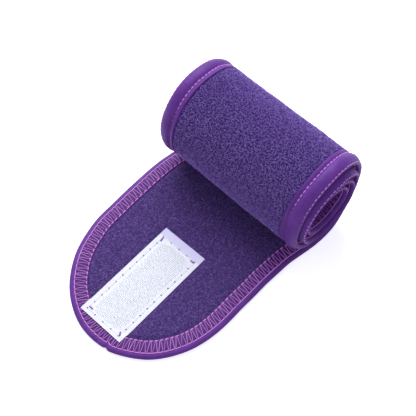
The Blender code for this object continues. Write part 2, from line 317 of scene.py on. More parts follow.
def path(s):
    """(x, z) of the middle surface at s, and its direction."""
    x, z, along_x, along_z = spiral(turn_at(s))
    flat = s < FLAT_LENGTH
    x = np.where(flat, TIP_X + s, x)
    z = np.where(flat, BAND_THICKNESS / 2, z)
    return x, z, np.where(flat, 1, along_x), np.where(flat, 0, along_z)


def drift(s):
    """How far the band's centre line lies off the roll's middle."""
    turn = turn_at(s)
    off = DRIFTS[0][1]
    for (turn_1, drift_1), (turn_2, drift_2) in zip(DRIFTS, DRIFTS[1:]):
        off = off + (drift_2 - drift_1) * smoothstep((turn - turn_1) / (turn_2 - turn_1))
    return off * smoothstep((s - DRIFT_START) / (FLAT_LENGTH - DRIFT_START))


def in_plan(x, y):
    """Where a point of the straight band lies once the band has turned a little to the right."""
    length = YAW_END_X - YAW_START_X
    share = np.clip((x - YAW_START_X) / length, 0, 1)
    turned = YAW * smoothstep(share)
    beyond = np.maximum(0, x - YAW_END_X)
    centre_x = np.minimum(x, YAW_END_X) + beyond * math.cos(YAW)
    centre_y = -YAW * length * (share**3 - share**4 / 2) - beyond * math.sin(YAW)
    return centre_x + y * np.sin(turned), centre_y + y * np.cos(turned)


def near_patch(s, y, margin=1.5 * MM):
    """1 under the patch, 0 away from it."""
    x = TIP_X + s - PATCH_X
    across = y - PATCH_Y
    along = x * math.cos(PATCH_TURN) + across * math.sin(PATCH_TURN)
    across = across * math.cos(PATCH_TURN) - x * math.sin(PATCH_TURN)
    inside_length = smoothstep((PATCH_LENGTH / 2 + margin - np.abs(along)) / margin)
    return inside_length * smoothstep((PATCH_WIDTH / 2 + margin - np.abs(across)) / margin)


def on_band(s, y, h):
    """The places, in the row frame, of points of the band."""
    x, z, along_x, along_z = path(s)
    x = x - TIP_STRETCH * (1 - smoothstep(s / TIP_STRETCH_REACH))
    lying = 1 - smoothstep((s - FLAT_LENGTH) / LIFT_OFF)
    swell = soft_swell(s, y)
    press_from, press_to = ROLLED_PRESS_TURNS
    rolled_in = smoothstep((turn_at(s) - press_from) / (press_to - press_from))
    h = h * (1 - (1 - ROLLED_PRESS) * rolled_in)
    flattened = -np.minimum(-h * FLAT_PRESS, FLAT_DEEPEST)
    h = np.where(h < 0, h + (flattened - h) * lying, h)
    h = h + ROLL_SWELL * swell * (1 - lying)
    lift = lying * (FLAT_RISE + FLAT_SWELL * (1 + swell) * (1 - near_patch(s, y, 12 * MM)))
    place_x, place_y = in_plan(x - h * along_z, y + drift(s))
    return np.stack([place_x, place_y, z + h * along_x + lift], axis=-1)


# The band's edge


def half_ellipse(s_end, towards):
    """The outline of an end, from +y to -y: rows of (s, y, normal's s, normal's y)."""
    angle = np.linspace(0, math.pi, 2 * EDGE_STEPS + 1)
    s = s_end - towards * END_TAPER * (1 - np.sin(angle))
    y = HALF_WIDTH * np.cos(angle)
    normal = np.stack([towards * np.sin(angle) / END_TAPER, np.cos(angle) / HALF_WIDTH], axis=-1)
    normal /= np.linalg.norm(normal, axis=-1, keepdims=True)
    return np.column_stack([s, y, normal])


def straight(start, end, side):
    s = np.linspace(start, end, EDGE_STEPS)
    ones = np.ones(len(s))
    return np.column_stack([s, side * HALF_WIDTH * ones, 0 * ones, side * ones])


def edge_table():
    """The whole edge in such rows: from the inner tip down the left side, round the flat end and back."""
    inner = half_ellipse(BAND_LENGTH, 1)
    outer = half_ellipse(0, -1)
    left = straight(BAND_LENGTH - END_TAPER, END_TAPER, 1)
    right = straight(END_TAPER, BAND_LENGTH - END_TAPER, -1)
    middle = EDGE_STEPS + 1
    return np.vstack([inner[:middle][::-1], left, outer, right, inner[middle:][::-1]])


EDGE = edge_table()
EDGE_AT = np.concatenate([[0], np.cumsum(np.hypot(*np.diff(EDGE[:, :2], axis=0).T))])
EDGE_LENGTH = EDGE_AT[-1]
TIP_AT = EDGE_AT[np.argmin(EDGE[:, 0])]
LAP_AT = TIP_AT + LAP_FROM_TIP


def edge_at(s, side):
    """The distance along the edge at s on that side: 1 is left, -1 right."""
    half = EDGE_AT < TIP_AT if side > 0 else EDGE_AT >= TIP_AT
    distances, places = EDGE_AT[half], EDGE[half, 0]
    order = np.argsort(places)
    return float(np.interp(s, places[order], distances[order]))


def edge_offset(u):
    """How far the edge stands out from its outline: a slight wander, and a step and nick at the lap."""
    past = u - LAP_AT
    step = np.where(past > 0, LAP_STEP * np.exp(-np.abs(past) / LAP_STEP_REACH), 0)
    nick = LAP_NICK * np.exp(-((past / LAP_NICK) ** 2))
    return EDGE_WANDER * edge_wander(u) + step - nick


def narrowing(s, y):
    """How far the flat end's right edge is drawn in."""
    reach = np.where(s < NARROWEST, *NARROWED_REACH)
    return np.where(y < 0, NARROWED * np.exp(-(((s - NARROWEST) / reach) ** 2)), 0)


def in_from_edge(u, inset, h):
    """(s, y, h) of points that far in from the edge, u along it."""
    u, inset, h = np.broadcast_arrays(np.mod(u, EDGE_LENGTH), inset, h)
    s, y, normal_s, normal_y = (np.interp(u, EDGE_AT, column) for column in EDGE.T)
    # In the taper of the inner end, insets run straight across, so that they stay in their own zone.
    tapered = smoothstep((s - (BAND_LENGTH - END_TAPER)) / MM) * (1 - smoothstep((s - LAST_CUT) / (3 * MM)))
    across = np.sign(y) / np.maximum(np.abs(normal_y), 0.3)
    normal_s = normal_s * (1 - tapered)
    normal_y = normal_y * (1 - tapered) + across * tapered
    inwards = inset - edge_offset(u) + narrowing(s, y)
    return s - inwards * normal_s, y - inwards * normal_y, h


def inset_of(s, y):
    """About how far a point lies in from the edge."""
    to_end = np.minimum(s, BAND_LENGTH - s)
    along = np.maximum(0, END_TAPER - to_end) / END_TAPER
    across = np.abs(y) / HALF_WIDTH
    size = np.maximum(np.hypot(along, across), 1e-6)
    slope = np.hypot(along / END_TAPER, across / HALF_WIDTH) / size
    inset = np.where(to_end < END_TAPER, (1 - size) / np.maximum(slope, 1e-6), HALF_WIDTH - np.abs(y))
    return inset - narrowing(s, y)


def half_width_at(s, inset):
    """Half the width of the band at s, inside a line that far in from the edge."""
    to_end = np.minimum(s, BAND_LENGTH - s)
    share = np.clip((END_TAPER - to_end) / (END_TAPER - inset), 0, 1)
    return (HALF_WIDTH - inset) * np.sqrt(1 - share**2)


# Hinges and zones


def roll_plane_x(place):
    """Where a hinge of the roll lies along x in the roll's own plane."""
    start_x, start_y = in_plan(np.array(YAW_END_X), np.array(0.0))
    return YAW_END_X + (place[0] - start_x) * math.cos(YAW) - (place[1] - start_y) * math.sin(YAW)


def hinge_distances():
    """{joint name: its distance along the band}, from the joints' own places."""
    found = {}
    reach = 30 * MM  # further than from one hinge to the next, and less than one turn
    before = FLAT_LENGTH
    for joint in frame["joints"]:
        x, y, z = joint["pos_m"]
        if joint["name"].startswith("end_fold"):
            found[joint["name"]] = x - TIP_X
            continue
        s = np.arange(before + 2 * MM, min(before + reach, BAND_LENGTH), 0.05 * MM)
        path_x, path_z, _, _ = path(s)
        s_here = s[np.argmin(np.hypot(path_x - roll_plane_x((x, y)), path_z - z))]
        found[joint["name"]] = float(s_here)
        before = s_here
    return found


CUTS = hinge_distances()


def make_zones():
    """The zones in order: (start, end, bodies), with one body where the band doesn't bend."""
    joints = frame["joints"]
    folds = sorted((j for j in joints if j["name"].startswith("end_fold")), key=lambda j: CUTS[j["name"]])
    rolls = [j for j in joints if j["name"].startswith("unroll")]
    fold_cuts = [CUTS[j["name"]] for j in folds]
    roll_cuts = [CUTS[j["name"]] for j in rolls]
    half = (fold_cuts[1] - fold_cuts[0]) / 2
    fold_ends = [fold_cuts[0] - half]
    fold_ends += [(a + b) / 2 for a, b in zip(fold_cuts, fold_cuts[1:])]
    fold_ends += [fold_cuts[-1] + half]
    middles = [(a + b) / 2 for a, b in zip(roll_cuts, roll_cuts[1:] + [BAND_LENGTH])]
    first = 2 * roll_cuts[0] - middles[0]
    found = [(0, fold_ends[0], [folds[0]["child"]])]
    for joint, start, end in zip(folds, fold_ends, fold_ends[1:]):
        found.append((start, end, [joint["child"], joint["parent"]]))
    found.append((fold_ends[-1], first, [rolls[0]["parent"]]))
    for joint, start, end in zip(rolls, [first] + middles, middles):
        found.append((start, end, [joint["parent"], joint["child"]]))
    found.append((middles[-1], BAND_LENGTH, [rolls[-1]["child"]]))
    return found


ZONES = make_zones()
LAST_CUT = ZONES[-1][0]
LABELS = [f"{number:02d}" for number in range(len(ZONES))]


def hang(obj, zone):
    """Hangs a piece of that zone on the zone's body where it has one, and otherwise leaves the piece where
    it is drawn.
    """
    start, end, bodies = zone
    if len(bodies) == 1:
        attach(obj, bodies[0])
        return
    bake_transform(obj)


def stand_in(obj, zone, *prefixes):
    """Replaces the CAD nodes of the zone's last body with those prefixes, if no later zone ends on it."""
    body = zone[2][-1]
    if max(number for number, other in enumerate(ZONES) if other[2][-1] == body) != ZONES.index(zone):
        return
    nodes = [name for name in frame["record"]["behaviour"]["bodies"][body] if name.startswith(prefixes)]
    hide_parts(*nodes)


# Meshes


class Cloth:
    """Collects surfaces and tubes drawn in (s, y, h), and makes one mesh of them.

    Each point keeps its (s, y, h) for the materials' patterns, and a tone, from 0 for a shaded root to 1 for
    a bright tip.
    """

    def __init__(self):
        self.points, self.bands, self.tones, self.normals, self.quads = [], [], [], [], []
        self.count = 0

    def add(self, points, band, tone, normals, quads):
        self.points.append(points.reshape(-1, 3))
        self.bands.append(band.reshape(-1, 3))
        self.tones.append(np.broadcast_to(tone, band.shape[:-1]).reshape(-1))
        self.normals.append(normals.reshape(-1, 3))
        self.quads.append(quads.reshape(-1, 4) + self.count)
        self.count += self.points[-1].shape[0]

    def surface(self, band_of, us, vs, facing, tone=0.5, place=on_band):
        """A grid through band_of(u, v) -> (s, y, h). facing is 1 or -1: which side of it is the outside."""
        u, v = np.meshgrid(us, vs, indexing="ij")
        band = np.stack(np.broadcast_arrays(*band_of(u, v)), axis=-1)
        step_u = (us[-1] - us[0]) / (len(us) - 1) / 2
        step_v = (vs[-1] - vs[0]) / (len(vs) - 1) / 2
        along = place(*band_of(u + step_u, v)) - place(*band_of(u - step_u, v))
        low, high = np.clip(v - step_v, vs[0], vs[-1]), np.clip(v + step_v, vs[0], vs[-1])
        across = place(*band_of(u, high)) - place(*band_of(u, low))
        normals = facing * np.cross(along, across)
        normals /= np.maximum(np.linalg.norm(normals, axis=-1, keepdims=True), 1e-12)
        number = np.arange(u.size).reshape(u.shape)
        corners = [number[:-1, :-1], number[1:, :-1], number[1:, 1:], number[:-1, 1:]]
        quads = np.stack(corners if facing > 0 else corners[::-1], axis=-1)
        self.add(place(*np.moveaxis(band, -1, 0)), band, tone, normals, quads)

    def tubes(self, centres, radius, sides, reference=(0, 0, 1), tone=0.5, place=on_band):
        """Round threads along centres, an array of (thread, point, 3) in (s, y, h)."""
        along = np.gradient(centres, axis=1)
        along /= np.linalg.norm(along, axis=-1, keepdims=True)
        side = np.cross(along, np.broadcast_to(reference, centres.shape))
        side /= np.maximum(np.linalg.norm(side, axis=-1, keepdims=True), 1e-9)
        up = np.cross(side, along)
        angle = math.tau * np.arange(sides) / sides + math.pi / sides
        ring = side[:, :, None] * np.cos(angle)[:, None] + up[:, :, None] * np.sin(angle)[:, None]
        band = centres[:, :, None] + ring * np.broadcast_to(radius, centres.shape[:2])[:, :, None, None]
        number = np.arange(band[..., 0].size).reshape(band.shape[:3])
        after = np.roll(number, -1, axis=2)
        quads = np.stack([number[:, :-1], after[:, :-1], after[:, 1:], number[:, 1:]], axis=-1)
        tone = np.broadcast_to(tone, centres.shape[:2])[:, :, None] * np.ones(sides)
        points = place(*np.moveaxis(band, -1, 0))
        self.add(points, band, tone, np.zeros_like(band), quads)

    def piece(self, name, material):
        """The collected mesh as an object."""
        mesh = bpy.data.meshes.new(name)
        points = np.concatenate(self.points)
        quads = np.concatenate(self.quads)
        mesh.vertices.add(len(points))
        mesh.vertices.foreach_set("co", points.astype(np.float32).ravel())
        mesh.loops.add(quads.size)
        mesh.loops.foreach_set("vertex_index", quads.astype(np.int32).ravel())
        mesh.polygons.add(len(quads))
        mesh.polygons.foreach_set("loop_start", np.arange(0, quads.size, 4, dtype=np.int32))
        mesh.update(calc_edges=True)
        mesh.shade_smooth()
        band = mesh.attributes.new("band", "FLOAT_VECTOR", "POINT")
        band.data.foreach_set("vector", np.concatenate(self.bands).astype(np.float32).ravel())
        tone = mesh.attributes.new("tone", "FLOAT", "POINT")
        tone.data.foreach_set("value", np.concatenate(self.tones).astype(np.float32))
        mesh.normals_split_custom_set_from_vertices(np.concatenate(self.normals))
        mesh.materials.append(material)
        obj = bpy.data.objects.new(name, mesh)
        bpy.context.scene.collection.objects.link(obj)
        return obj


def steps(start, end, pitch):
    """Evenly spread values from start to end, about that far apart."""
    return np.linspace(start, end, max(2, round(abs(end - start) / pitch)) + 1)


def laid_out(x, y, height, heading, along, beside=0):
    """Points of threads at (x, y), each thread turned to its own heading."""
    points_x = x + along * np.cos(heading) - beside * np.sin(heading)
    points_y = y + along * np.sin(heading) + beside * np.cos(heading)
    return np.stack(np.broadcast_arrays(points_x, points_y, height), axis=-1)


def sideways(heading):
    return np.stack([-np.sin(heading), np.cos(heading), 0 * heading], axis=-1)


# Towelling


def rows_of(zone, inset, pitch):
    """Distances along a zone, closing in on the ends of the band, where the cloth narrows to nothing."""
    start, end, _ = zone
    if start == 0:
        angle = np.linspace(0, math.pi / 2, round(END_TAPER / pitch) + 1)
        rounded = inset + (END_TAPER - inset) * (1 - np.cos(angle))
        return np.concatenate([rounded[:-1], steps(END_TAPER, end, pitch)])
    if end == BAND_LENGTH:
        reach = max(end - inset - start, MM)
        return start + reach * np.sin(np.linspace(0, math.pi / 2, 8))
    return steps(start, end, pitch)


def terry_height(s, y):
    pressed = 1 - smoothstep((inset_of(s, y) - TAPE_OUTSIDE) / (2 * MM))
    return TERRY_GROUND * (1 - 0.1 * pressed) + TERRY_SWELL * pile_swell(s, y) * (1 - pressed)


def brushed_height(s, y):
    pressed = PRESSED_BY_TAPE * (1 - smoothstep((inset_of(s, y) - TAPE_INSIDE) / (2.5 * MM)))
    under_patch = near_patch(s, y)
    grain = BRUSHED_GRAIN * pile_swell(s, y) + BRUSHED_GRAIN * fine_grain(s, y)
    return BRUSHED_FACE - np.maximum(pressed, PRESSED_BY_PATCH * under_patch) + grain * (1 - under_patch)


def scattered(rng, zone, pitch, inset):
    """Random points spread evenly over a zone of the cloth: (s, y)."""
    start, end, _ = zone
    across = np.arange(-HALF_WIDTH, HALF_WIDTH, pitch)
    s, y = np.meshgrid(np.arange(start, end, pitch), across, indexing="ij")
    s = (s + rng.uniform(0, pitch, s.shape)).ravel()
    y = (y + rng.uniform(0, pitch, y.shape)).ravel()
    kept = (inset_of(s, y) > inset) & (s < end)
    return s[kept], y[kept]


def terry_loops(cloth, rng, zone, pitch):
    """The pile's loops: bent arches of yarn that lean and curl, each its own way."""
    s, y = scattered(rng, zone, pitch, TAPE_OUTSIDE + 0.3 * MM)
    count = len(s)
    t = np.linspace(0, 1, 6)
    arch = np.sin(math.pi * t) ** 0.75
    width = rng.uniform(*LOOP_WIDTH, (count, 1)) * MM
    height = rng.uniform(*LOOP_HEIGHT, (count, 1)) * MM
    edge = 1 - 0.5 * (1 - smoothstep((inset_of(s, y) - TAPE_OUTSIDE) / (1.5 * MM)))
    height = height * edge[:, None]
    lean = rng.normal(0, 0.35, (count, 1)) * height
    curl = rng.uniform(*LOOP_CURL, (count, 1)) * MM
    along = -width / 2 * np.cos(math.pi * t) * (1 + 0.35 * arch)
    beside = lean * arch + curl * np.sin(math.tau * t)
    up = height * arch - LOOP_ROOT
    heading = rng.uniform(0, math.tau, (count, 1))
    bottom = terry_height(s, y)[:, None] - up
    centres = laid_out(s[:, None], y[:, None], bottom, heading, along, beside)
    brightness = rng.uniform(0.5, 1, (count, 1))
    radius = rng.uniform(*LOOP_RADIUS, (count, 1)) * MM * np.ones(len(t))
    # The tone is random per loop, times painted shade towards its roots in the ground, so only its top is
    # bright.
    cloth.tubes(centres, radius, 3, sideways(heading), tone=brightness * (0.25 + 0.75 * arch))


def terry(zone, label, pitch):
    inset = TAPE_OUTSIDE - 2.5 * MM
    cloth = Cloth()

    def ground(s, share):
        y = share * half_width_at(s, inset)
        return s, y, terry_height(s, y)

    # The ground's low tone is painted shade: the shade deep among the loops.
    cloth.surface(ground, rows_of(zone, inset, TERRY_GRID), np.linspace(-1, 1, 61), -1, tone=0.12)
    rng = np.random.default_rng([SEED, 100, int(label)])
    terry_loops(cloth, rng, zone, pitch)
    return cloth.piece(f"terry_{label}", MATERIALS["terry"])


def hairs(cloth, rng, zone, pitch):
    """Short bent hairs that stand out of the brushed face."""
    s, y = scattered(rng, zone, pitch, TAPE_INSIDE + 0.5 * MM)
    clear = near_patch(s, y) < 0.05
    s, y = s[clear], y[clear]
    count = len(s)
    t = np.linspace(0, 1, 3)
    heading = rng.uniform(0, math.tau, (count, 1))
    reach = rng.uniform(*HAIR_REACH, (count, 1)) * MM * t
    up = rng.uniform(*HAIR_RISE, (count, 1)) * MM * np.sin(math.pi / 2 * t * 1.3) - HAIR_ROOT
    centres = laid_out(s[:, None], y[:, None], brushed_height(s, y)[:, None] + up, heading, reach)
    radius = HAIR_RADIUS * (1 - 0.75 * t) * np.ones((count, 1))
    brightness = rng.uniform(0.3, 1, (count, 1)) ** 1.5
    # The tone is random per hair, times painted shade towards its root.
    cloth.tubes(centres, radius, 3, sideways(heading), tone=brightness * (0.4 + 0.6 * t))


def brushed(zone, label, pitch, hair_pitch):
    inset = TAPE_INSIDE - 1.5 * MM
    cloth = Cloth()

    def face(s, share):
        y = share * half_width_at(s, inset)
        return s, y, brushed_height(s, y)

    across = np.linspace(-1, 1, 1 + 2 * round(HALF_WIDTH / pitch))
    cloth.surface(face, rows_of(zone, inset, pitch), across, 1, tone=0.35)
    rng = np.random.default_rng([SEED, 200, int(label)])
    hairs(cloth, rng, zone, hair_pitch)
    return cloth.piece(f"brushed_{label}", MATERIALS["brushed"])


# Binding


def tape_profile(v):
    """(inset, height) of the tape's skin, v from 0 to 1 through its points."""
    at = np.linspace(0, 1, len(TAPE_SKIN))
    inset, height = np.array(TAPE_SKIN).T * MM
    return np.interp(v, at, inset), np.interp(v, at, height)


def skin(u, v):
    """(s, y, h) of the tape's skin, with the small puckers that its stitches pull."""
    inset, height = tape_profile(v)
    at_needles = np.exp(-(((inset - NEEDLE_INSET) / (1.3 * MM)) ** 2))
    at_line = np.exp(-(((inset - INSIDE_LINE_INSET) / MM) ** 2))
    pucker = PUCKER * (at_needles + at_line) * np.cos(math.tau * u / STITCH)
    wrinkle = WRINKLE * fine_grain(u * 0.6, inset * 0.35)
    return in_from_edge(u, inset, height + np.sign(height) * (wrinkle - pucker))


def tape(name, start, end, pitch=0.7 * MM):
    """A length of tape. Its tone is 0 between the two seam lines inside, where the threads shade it."""
    cloth = Cloth()
    profile = np.linspace(0, 1, len(TAPE_SKIN))
    inset, height = tape_profile(profile)
    inside = (inset > INSIDE_LINE_INSET - 0.1 * MM) & (height > 0)
    cloth.surface(skin, steps(start, end, pitch), profile, 1, tone=np.where(inside, 0.0, 1.0))
    return cloth.piece(name, MATERIALS["binding"])


def stitches_between(start, end, stitch):
    """Where each stitch that starts in this stretch of the edge starts."""
    first = math.ceil(start / stitch)
    last = math.ceil(end / stitch)
    return np.arange(first, last) * stitch


def turn_along_edge(u):
    return turn_at(np.interp(np.mod(u, EDGE_LENGTH), EDGE_AT, EDGE[:, 0]))


def showing_and_shade(u):
    """How much the outer threads show: 1 where they lie on the tape, less where they are drawn into it.
    Their tone follows it as painted shade, from about 0.6 to 1 turn, on the roll's side that faces the tail,
    away from the key light.
    """
    turn = turn_along_edge(u)
    return 1 - 0.85 * smoothstep((turn - 0.58) / 0.12) * (1 - smoothstep((turn - 1) / 0.1))


def inner(u):
    """0 on the outer turn and the flat end, 1 on the inner turns. The threads there take painted shade from
    it, in the roll's core, and the inner stitches sink a little.
    """
    return smoothstep((turn_along_edge(u) - 0.9) / 0.2)


def dashes(cloth, rng, start, end, stitch, inset, height, rise, radius, bright):
    """A row of stitches, each a short thread that comes up through the tape and goes down again.

    rise is how far they come up from height, less than 0 on the outside of the band.
    """
    at = stitches_between(start, end, stitch)[:, None]
    t = np.linspace(0, 1, 6)
    u = at + stitch * ((1 - STITCH_SPAN) / 2 + STITCH_SPAN * t)
    wobble = rng.uniform(-0.07, 0.07, (len(at), 1)) * MM
    # seen sinks the threads and also darkens their tone: painted shade on the outer turn's tail side, and in
    # the roll's core.
    seen = showing_and_shade(at) if rise < 0 else 1 - 0.2 * inner(at)
    arch = np.sin(math.pi * t) ** 0.5
    lift = height + rise * (0.4 + 0.6 * seen) * arch - math.copysign(STITCH_SINK, rise)
    centres = np.stack(in_from_edge(u, inset + wobble, lift), axis=-1)
    cloth.tubes(centres, radius, 5, tone=seen * bright * rng.uniform(0.8, 1.1, (len(at), 1)))


def line(cloth, start, end):
    """A thread that lies along the inside of the edge without a break, dipping a little at each stitch."""
    u = steps(start, end, LOOPER_STITCH / 6)
    lift = LINE_HEIGHT + 0.09 * MM * np.sin(math.tau * u / LOOPER_STITCH)
    centres = np.stack(in_from_edge(u, INSIDE_LINE_INSET, lift), axis=-1)[None]
    # Painted shade on the inner turns, in the roll's core.
    cloth.tubes(centres, LINE_RADIUS, 5, tone=0.95 - 0.25 * inner(u)[None])


def zigzag(cloth, start, end):
    """The looper thread on the inside, swinging between the two needle lines."""
    u = steps(start, end, LOOPER_STITCH / 12)
    phase = u / LOOPER_STITCH + 0.06 * edge_wander(u * 2)
    swing = np.clip(1.25 * np.sin(math.tau * phase), -1, 1)
    middle = (INSIDE_LINE_INSET + TAPE_INSIDE) / 2 + 0.15 * MM * edge_wander(u * 5)
    reach = (TAPE_INSIDE - INSIDE_LINE_INSET) / 2
    slant = (0.3 + 0.15 * edge_wander(u * 3)) * MM * swing
    height = ZIGZAG_HEIGHT - 0.12 * MM * np.abs(swing) ** 3
    centres = np.stack(in_from_edge(u + slant, middle + reach * swing, height), axis=-1)[None]
    # The wander is the thread's own random tone; the inner turns get painted shade, in the roll's core.
    tone = ZIGZAG_TONE + 0.12 * edge_wander(u * 4) - 0.15 * inner(u)
    cloth.tubes(centres, ZIGZAG_RADIUS, 5, tone=tone[None])


def coverstitch(name, spans, seed):
    """All the seam's threads in these stretches of the edge, as one piece."""
    cloth = Cloth()
    rng = np.random.default_rng([SEED, 300, seed])
    for start, end in spans:
        dashes(cloth, rng, start, end, *NEEDLE_ROW)
        dashes(cloth, rng, start, end, *EDGE_ROW)
        line(cloth, start, end)
        zigzag(cloth, start, end)
        dashes(cloth, rng, start, end, *INSIDE_ROW)
    return cloth.piece(name, MATERIALS["coverstitch"])


# Hook tape patch. Its own coordinates are x along it, away from the tip, y across it, and z up.


def patch_place(x, y, z):
    """The place in the row frame of a point of the patch."""
    place_x = PATCH_X + x * math.cos(PATCH_TURN) - y * math.sin(PATCH_TURN)
    place_y = PATCH_Y + x * math.sin(PATCH_TURN) + y * math.cos(PATCH_TURN)
    inset = inset_of(place_x - TIP_X, place_y)
    over_tape = 0.75 * MM * smoothstep((TAPE_INSIDE + 1.6 * MM - inset) / (3 * MM))
    return np.stack([place_x, place_y, z + over_tape], axis=-1)


def outside_field(x, y):
    """How far a point of the patch lies outside the field of hooks, which has rounded corners."""
    along = np.abs(x - (FIELD_FROM + FIELD_TO) / 2) - (FIELD_TO - FIELD_FROM) / 2 + FIELD_CORNER
    across = np.abs(y) - FIELD_HALF + FIELD_CORNER
    rounded = np.hypot(np.maximum(along, 0), np.maximum(across, 0))
    return rounded + np.minimum(np.maximum(along, across), 0) - FIELD_CORNER


def woven_top(x, y):
    """The height of the patch's woven face: ribs along its margins, and a plain selvage at its far end."""
    margin = smoothstep(outside_field(x, y) / (0.6 * MM))
    ribbed = margin * (1 - smoothstep((x - FIELD_TO) / MM))
    ribs = 0.045 * MM * np.cos(math.tau * y / (0.62 * MM)) + 0.03 * MM * np.cos(math.tau * x / (0.9 * MM))
    to_ends = np.minimum(np.abs(x - SEAM_FROM), np.abs(x - SEAM_TO))
    at_seam = np.minimum(np.abs(np.abs(y) - SEAM_HALF), to_ends)
    pulled = 0.02 * MM * np.exp(-((at_seam / (0.7 * MM)) ** 2)) * margin
    return PATCH_TOP + ribs * ribbed - pulled + 0.05 * MM * pile_swell(x, y)


def woven_base():
    cloth = Cloth()
    half_x = PATCH_LENGTH / 2
    half_y = PATCH_WIDTH / 2

    def top(x, y):
        return x, y, woven_top(x, y)

    def side(x, y):
        return lambda u, v: (x(u), y(u), PATCH_UNDER + v * (woven_top(x(u), y(u)) - PATCH_UNDER))

    rows, columns = steps(-half_x, half_x, 0.3 * MM), steps(-half_y, half_y, 0.155 * MM)
    selvage = smoothstep((rows[:, None] - FIELD_TO - MM) / MM) * np.ones(len(columns))
    cloth.surface(top, rows, columns, 1, tone=1 - selvage, place=patch_place)
    along = steps(-half_x, half_x, MM)
    across = steps(-half_y, half_y, MM)
    rise = np.array([0, 0.5, 1])
    cloth.surface(side(lambda u: u, lambda u: 0 * u - half_y), along, rise, 1, place=patch_place)
    cloth.surface(side(lambda u: u, lambda u: 0 * u + half_y), along, rise, -1, place=patch_place)
    cloth.surface(side(lambda u: 0 * u + half_x, lambda u: u), across, rise, 1, place=patch_place)
    cloth.surface(side(lambda u: 0 * u - half_x, lambda u: u), across, rise, -1, place=patch_place)
    cloth.surface(lambda x, y: (x, y, 0 * x + PATCH_UNDER), along, across, -1, place=patch_place)
    return cloth.piece("patch_base", MATERIALS["woven"])


def hooks():
    """The field of hooks: each a bent monofilament, leaning its own way."""
    cloth = Cloth()
    rng = np.random.default_rng([SEED, 400])
    pitch_x, pitch_y = HOOK_PITCH
    rows = np.arange(-FIELD_HALF, FIELD_HALF, pitch_y)
    x, y = np.meshgrid(np.arange(FIELD_FROM, FIELD_TO, pitch_x), rows)
    x = x + pitch_x / 2 * (np.arange(len(rows)) % 2)[:, None]
    x = (x + rng.uniform(*HOOK_SHIFT, x.shape) * MM).ravel()
    y = (y + rng.uniform(*HOOK_SHIFT, y.shape) * MM).ravel()
    kept = outside_field(x, y) < -0.2 * MM
    x, y = x[kept, None], y[kept, None]
    count = len(x)
    bend = np.array(HOOK_BEND) * MM
    lift = np.array(HOOK_LIFT) * MM
    heading = rng.choice([0, math.pi], (count, 1)) + rng.normal(0, 0.45, (count, 1))
    lean = rng.normal(0, 0.12, (count, 1)) * lift
    size = rng.uniform(0.85, 1.05, (count, 1))
    centres = laid_out(x, y, PATCH_TOP + size * lift, heading, size * bend, lean)
    # The tone is random per hook, times painted shade towards its root.
    tone = rng.uniform(0.4, 1, (count, 1)) * np.linspace(0.6, 1, len(bend))
    cloth.tubes(centres, HOOK_RADIUS, 4, sideways(heading), tone=tone, place=patch_place)
    return cloth.piece("patch_hooks", MATERIALS["hooks"])


def seam_points():
    """The places of the seam's needle holes round the patch, in order."""
    corners = [(SEAM_FROM, -SEAM_HALF), (SEAM_TO, -SEAM_HALF)]
    corners += [(SEAM_TO, SEAM_HALF), (SEAM_FROM, SEAM_HALF)]
    found = []
    for (x_1, y_1), (x_2, y_2) in zip(corners, corners[1:] + corners[:1]):
        count = round(math.hypot(x_2 - x_1, y_2 - y_1) / SEAM_STITCH)
        share = np.arange(count)[:, None] / count
        found.append(np.array([x_1, y_1]) + share * np.array([x_2 - x_1, y_2 - y_1]))
    return np.concatenate(found)


def seam():
    """Light stitches from hole to hole, drawn down into the tape at each."""
    cloth = Cloth()
    holes = seam_points()
    after = np.roll(holes, -1, axis=0)
    t = np.linspace(0.04, 0.96, 8)[:, None]
    flat = holes[:, None] + t * (after - holes)[:, None]
    lift = PATCH_TOP + (0.12 * np.sin(math.pi * t[:, 0]) ** 0.4 - 0.1) * MM
    centres = np.concatenate([flat, np.broadcast_to(lift[:, None], flat.shape[:2] + (1,))], axis=-1)
    cloth.tubes(centres, SEAM_RADIUS, 5, tone=0.8, place=patch_place)
    return cloth.piece("patch_stitches", MATERIALS["seam"])


def tacks():
    """The purple under thread: a speck that shows at each needle hole, and a bar tack over each corner."""
    cloth = Cloth()
    rng = np.random.default_rng([SEED, 500])
    holes = seam_points()
    count = len(holes)
    t = np.linspace(-1, 1, 5)
    heading = rng.uniform(0, math.pi, (count, 1))
    arch = 1 - t**2
    specks = laid_out(holes[:, :1], holes[:, 1:], PATCH_TOP + 0.15 * MM * arch, heading, SPECK_REACH * t)
    cloth.tubes(specks, SPECK_RADIUS, 5, tone=0.2, place=patch_place)
    bars = []
    for x, y, turn in TACK_BARS:
        for offset in (-0.22 * MM, 0, 0.22 * MM):
            height = PATCH_TOP + 0.2 * MM * arch
            bars.append(laid_out(x, y, height, turn * math.pi / 2, t * TACK_REACH, offset))
    cloth.tubes(np.array(bars), TACK_RADIUS, 5, tone=0.6, place=patch_place)
    return cloth.piece("patch_tacks", MATERIALS["tacks"])


def build_patch():
    base, field, stitches, bars = woven_base(), hooks(), seam(), tacks()
    slots = [(base, "hook_tape"), (field, "hook_tape"), (stitches, "thread"), (bars, "thread")]
    for piece, slot in slots:
        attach(piece, "tip")
    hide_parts("hook_patch")
    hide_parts("patch_stitching")


# Materials


def new_material(name, roughness):
    made = bpy.data.materials.new(name)
    made.use_nodes = True
    shader = made.node_tree.nodes["Principled BSDF"]
    shader.inputs["Roughness"].default_value = roughness
    return made, shader


def soften(shader, sheen, sheen_roughness, sheen_tint, specular):
    """Gives cloth the sheen of its fibres, and a weaker gloss."""
    shader.inputs["Sheen Weight"].default_value = sheen
    shader.inputs["Sheen Roughness"].default_value = sheen_roughness
    shader.inputs["Sheen Tint"].default_value = (*sheen_tint, 1)
    shader.inputs["Specular IOR Level"].default_value = specular


